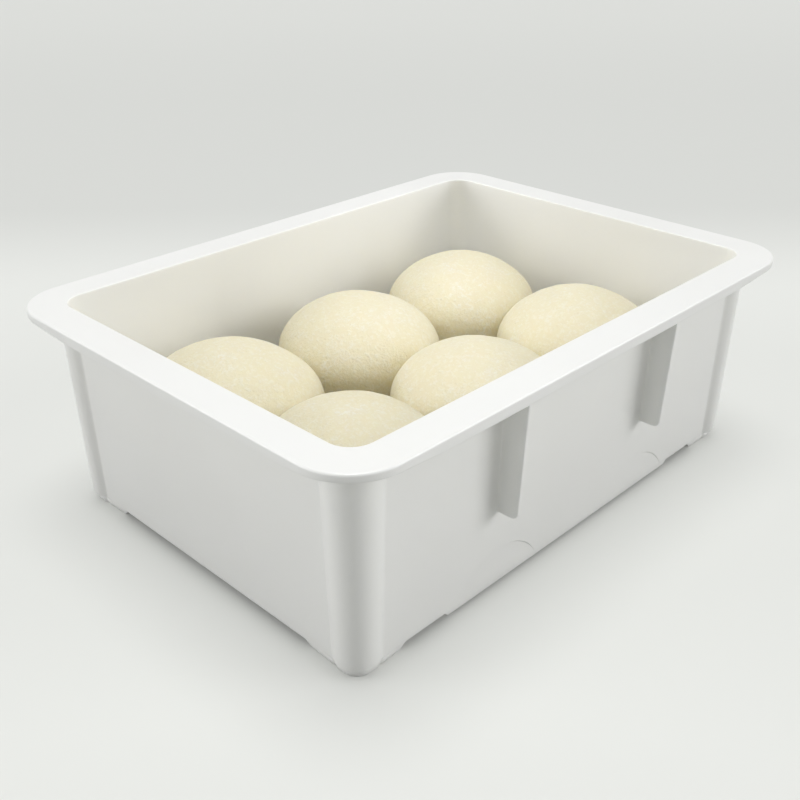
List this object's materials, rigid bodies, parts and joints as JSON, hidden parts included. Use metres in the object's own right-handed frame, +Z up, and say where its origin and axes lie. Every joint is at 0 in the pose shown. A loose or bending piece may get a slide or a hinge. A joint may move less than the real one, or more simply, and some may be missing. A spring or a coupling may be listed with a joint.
{
  "type": "dough proofing container",
  "caption": "Open rectangular plastic tub with a wide down-turned rim, corner posts, side ribs and low feet, holding loose balls of proofed dough in rows.",
  "frame": {"origin": "on the ground, under the middle of the box", "axes": "+X along the long side, +Z up; the front is the long side at -Y"},
  "size_m": [0.4002, 0.2956, 0.136],
  "materials": {
    "white_plastic": "satin",
    "dough": "matte"
  },
  "bodies": {
    "tub": {"tub": "white_plastic"},
    "dough_front_left": {"dough_front_left": "dough"},
    "dough_front_middle": {"dough_front_middle": "dough"},
    "dough_front_right": {"dough_front_right": "dough"},
    "dough_back_left": {"dough_back_left": "dough"},
    "dough_back_middle": {"dough_back_middle": "dough"},
    "dough_back_right": {"dough_back_right": "dough"}
  },
  "joints": [
    {"name": "lift_front_left", "type": "slide", "parent": "tub", "child": "dough_front_left", "axis": [0, 0, 1], "range_m": [0, 0.14]},
    {"name": "lift_front_middle", "type": "slide", "parent": "tub", "child": "dough_front_middle", "axis": [0, 0, 1], "range_m": [0, 0.14]},
    {"name": "lift_front_right", "type": "slide", "parent": "tub", "child": "dough_front_right", "axis": [0, 0, 1], "range_m": [0, 0.14]},
    {"name": "lift_back_left", "type": "slide", "parent": "tub", "child": "dough_back_left", "axis": [0, 0, 1], "range_m": [0, 0.14]},
    {"name": "lift_back_middle", "type": "slide", "parent": "tub", "child": "dough_back_middle", "axis": [0, 0, 1], "range_m": [0, 0.14]},
    {"name": "lift_back_right", "type": "slide", "parent": "tub", "child": "dough_back_right", "axis": [0, 0, 1], "range_m": [0, 0.14]}
  ]
}
